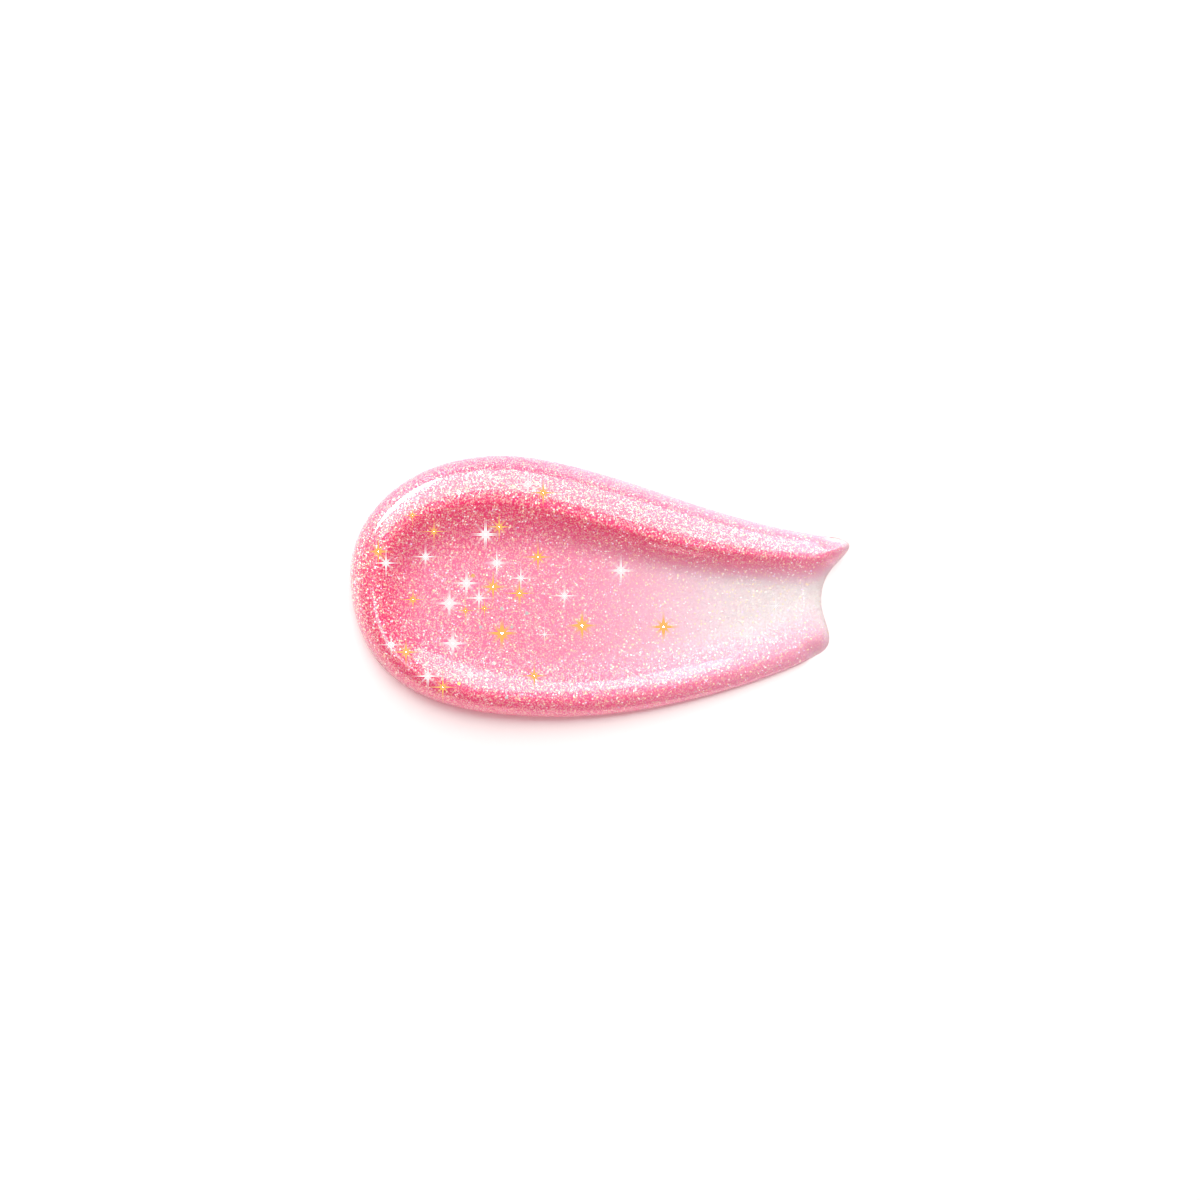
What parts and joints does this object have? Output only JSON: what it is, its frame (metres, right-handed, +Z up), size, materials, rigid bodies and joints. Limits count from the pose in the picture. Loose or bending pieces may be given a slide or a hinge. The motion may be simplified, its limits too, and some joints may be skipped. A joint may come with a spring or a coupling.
{
  "type": "lip gloss smear",
  "caption": "Smear of glossy shimmer lip gel with a round head, two raised ridges and a thin torn tail, with glitter flakes seated in its skin.",
  "frame": {"origin": "middle of the flat underside's bounding rectangle, on the surface that the smear lies on", "axes": "+X along the smear from its round head to its torn tail, +Y towards the broad ridge, +Z up out of the surface"},
  "size_m": [0.0398, 0.021, 0.0029],
  "materials": {
    "gel": "wet gloss over fine shimmer",
    "silver_glitter": "bright metallised film",
    "gold_glitter": "bright metallised film"
  },
  "bodies": {
    "root": {"gloss_gel": "gel", "silver_flake_01": "silver_glitter", "silver_flake_02": "silver_glitter", "silver_flake_03": "silver_glitter", "silver_flake_04": "silver_glitter", "silver_flake_05": "silver_glitter", "silver_flake_06": "silver_glitter", "silver_flake_07": "silver_glitter", "silver_flake_08": "silver_glitter", "silver_flake_09": "silver_glitter", "silver_flake_10": "silver_glitter", "silver_flake_11": "silver_glitter", "silver_flake_12": "silver_glitter", "silver_flake_13": "silver_glitter", "silver_flake_14": "silver_glitter", "silver_flake_15": "silver_glitter", "silver_flake_16": "silver_glitter", "silver_flake_17": "silver_glitter", "silver_flake_18": "silver_glitter", "silver_flake_19": "silver_glitter", "silver_flake_20": "silver_glitter", "silver_flake_21": "silver_glitter", "silver_flake_22": "silver_glitter", "silver_flake_23": "silver_glitter", "silver_flake_24": "silver_glitter", "silver_flake_25": "silver_glitter", "silver_flake_26": "silver_glitter", "gold_flake_01": "gold_glitter", "gold_flake_02": "gold_glitter", "gold_flake_03": "gold_glitter", "gold_flake_04": "gold_glitter", "gold_flake_05": "gold_glitter", "gold_flake_06": "gold_glitter", "gold_flake_07": "gold_glitter", "gold_flake_08": "gold_glitter", "gold_flake_09": "gold_glitter", "gold_flake_10": "gold_glitter", "gold_flake_11": "gold_glitter", "gold_flake_12": "gold_glitter", "gold_flake_13": "gold_glitter", "gold_flake_14": "gold_glitter", "gold_flake_15": "gold_glitter", "gold_flake_16": "gold_glitter", "gold_flake_17": "gold_glitter", "gold_flake_18": "gold_glitter", "gold_flake_19": "gold_glitter"}
  },
  "joints": []
}
